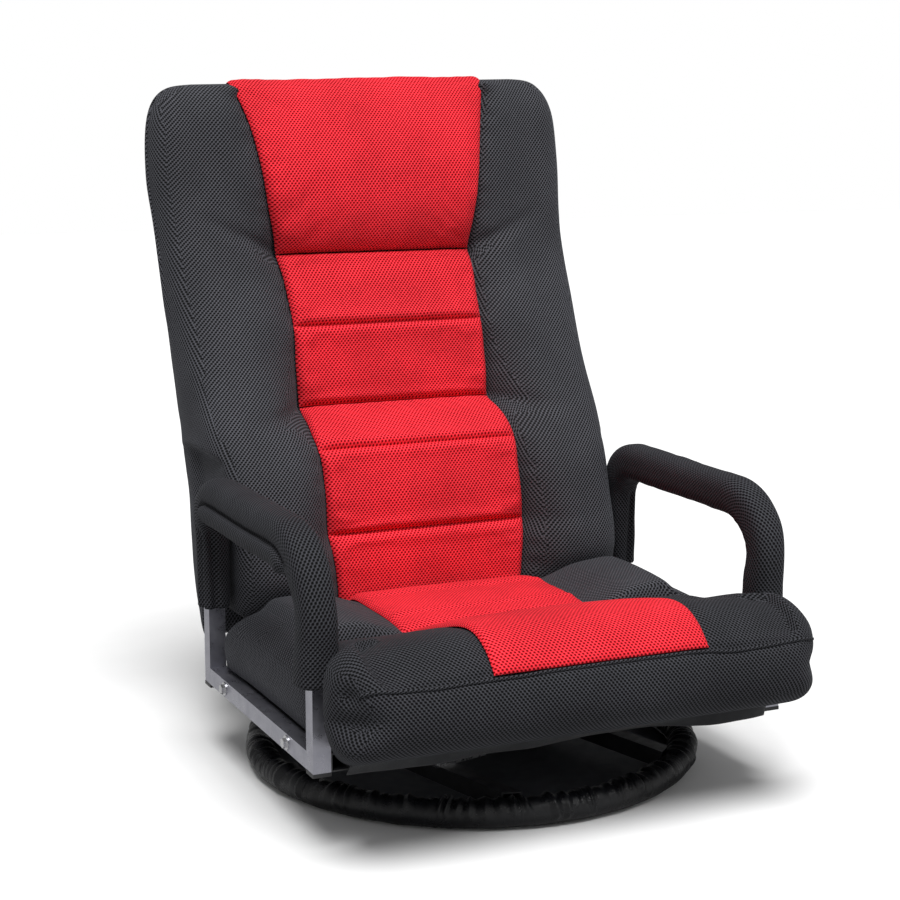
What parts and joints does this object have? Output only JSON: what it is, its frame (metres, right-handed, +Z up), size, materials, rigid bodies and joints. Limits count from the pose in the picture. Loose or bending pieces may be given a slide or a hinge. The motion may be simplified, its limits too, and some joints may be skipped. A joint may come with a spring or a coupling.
{
  "type": "floor gaming chair",
  "caption": "Low padded floor chair with a reclining ratchet back, bolted arm hoops with padded sleeves, and a covered ring base that swivels.",
  "frame": {"origin": "on the floor, on the swivel axis, at the centre of the base ring's flat underside", "axes": "+Z up, the chair faces -Y at rest, +X to the right as seen from the front"},
  "size_m": [0.5868, 0.714, 0.79],
  "materials": {
    "black_steel": "satin",
    "grey_paint": "satin",
    "zinc_steel": "satin",
    "black_plastic": "matte",
    "black_mesh": "matte",
    "red_mesh": "matte",
    "base_cloth": "satin",
    "lining_cloth": "matte",
    "webbing": "matte"
  },
  "bodies": {
    "base": {"base_ring": "black_steel", "base_crossbar_left": "black_steel", "base_crossbar_right": "black_steel", "base_floor_panel": "base_cloth", "base_cover": "base_cloth", "swivel_lower_plate": "zinc_steel", "swivel_balls": "zinc_steel", "swivel_base_bolts": "zinc_steel"},
    "seat": {"arm_bolts": "zinc_steel", "arm_end_caps": "black_plastic", "arm_hoop_left": "grey_paint", "arm_hoop_right": "grey_paint", "arm_nuts": "zinc_steel", "arm_rail_left": "grey_paint", "arm_rail_right": "grey_paint", "arm_sleeve_left": "black_mesh", "arm_sleeve_right": "black_mesh", "arm_washers": "zinc_steel", "hinge_pin_left": "zinc_steel", "hinge_pin_right": "zinc_steel", "hinge_plate_left_inner": "zinc_steel", "hinge_plate_left_outer": "zinc_steel", "hinge_plate_right_inner": "zinc_steel", "hinge_plate_right_outer": "zinc_steel", "pawl_pin_left": "zinc_steel", "pawl_pin_right": "zinc_steel", "pawl_spring_left": "zinc_steel", "pawl_spring_right": "zinc_steel", "seat_cushion": "black_mesh", "seat_dust_cover": "lining_cloth", "seat_front_bolster": "black_mesh", "seat_front_tube": "black_steel", "seat_middle_tube": "black_steel", "seat_mount_bar_left": "black_steel", "seat_mount_bar_right": "black_steel", "seat_rear_tube": "black_steel", "seat_side_tube_left": "black_steel", "seat_side_tube_right": "black_steel", "seat_webbing": "webbing", "swivel_seat_bolts": "zinc_steel", "swivel_upper_plate": "zinc_steel"},
    "backrest": {"back_foam": "black_mesh", "back_frame_hoop": "black_steel", "back_head_pad": "red_mesh", "back_lower_tube": "black_steel", "back_lumbar_pad": "red_mesh", "back_mid_pad": "red_mesh", "back_rear_panel": "lining_cloth", "back_upper_tube": "black_steel", "back_webbing": "webbing", "ratchet_arm_left": "zinc_steel", "ratchet_arm_right": "zinc_steel"},
    "pawl_left": {"pawl_left": "zinc_steel"},
    "pawl_right": {"pawl_right": "zinc_steel"}
  },
  "joints": [
    {"name": "seat_swivel", "type": "hinge", "parent": "base", "child": "seat", "pos_m": [0, 0, 0.043], "axis": [0, 0, 1], "continuous": true},
    {"name": "back_recline", "type": "hinge", "parent": "seat", "child": "backrest", "pos_m": [0, 0.185, 0.126], "axis": [-1, 0, 0], "range_deg": [0, 72]},
    {"name": "pawl_left_lift", "type": "hinge", "parent": "seat", "child": "pawl_left", "pos_m": [-0.2066, 0.16936, 0.09247], "axis": [1, 0, 0], "range_deg": [0, 14], "stiffness_Nm_per_rad": 0.05, "springref_deg": -11.46},
    {"name": "pawl_right_lift", "type": "hinge", "parent": "seat", "child": "pawl_right", "pos_m": [0.2066, 0.16936, 0.09247], "axis": [1, 0, 0], "range_deg": [0, 14], "stiffness_Nm_per_rad": 0.05, "springref_deg": -11.46}
  ]
}
